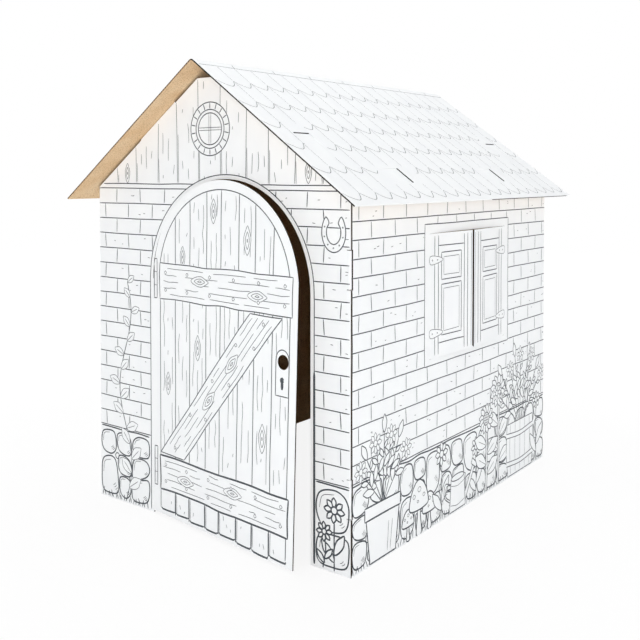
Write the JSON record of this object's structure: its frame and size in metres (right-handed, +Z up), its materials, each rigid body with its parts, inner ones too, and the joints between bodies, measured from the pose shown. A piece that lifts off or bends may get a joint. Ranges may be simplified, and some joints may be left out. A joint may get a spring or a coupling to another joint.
{
  "type": "cardboard playhouse",
  "caption": "Child's playhouse folded from white-faced corrugated board, with a gabled roof, an arched door left ajar and a shuttered window, printed with line drawing to colour in.",
  "frame": {"origin": "on the ground, under the middle of the house", "axes": "+Z up, +Y from the front gable to the back gable, +X to the right as seen from the front"},
  "size_m": [0.904, 1.11, 1.0975],
  "materials": {
    "wall_board": "matte white-faced corrugated board",
    "roof_board": "matte white-faced corrugated board",
    "printed_line": "matte dark grey print",
    "raw_board": "bare brown corrugated board"
  },
  "bodies": {
    "root": {"front_left_walls": "wall_board", "back_right_walls": "wall_board", "roof": "roof_board"}
  },
  "joints": []
}
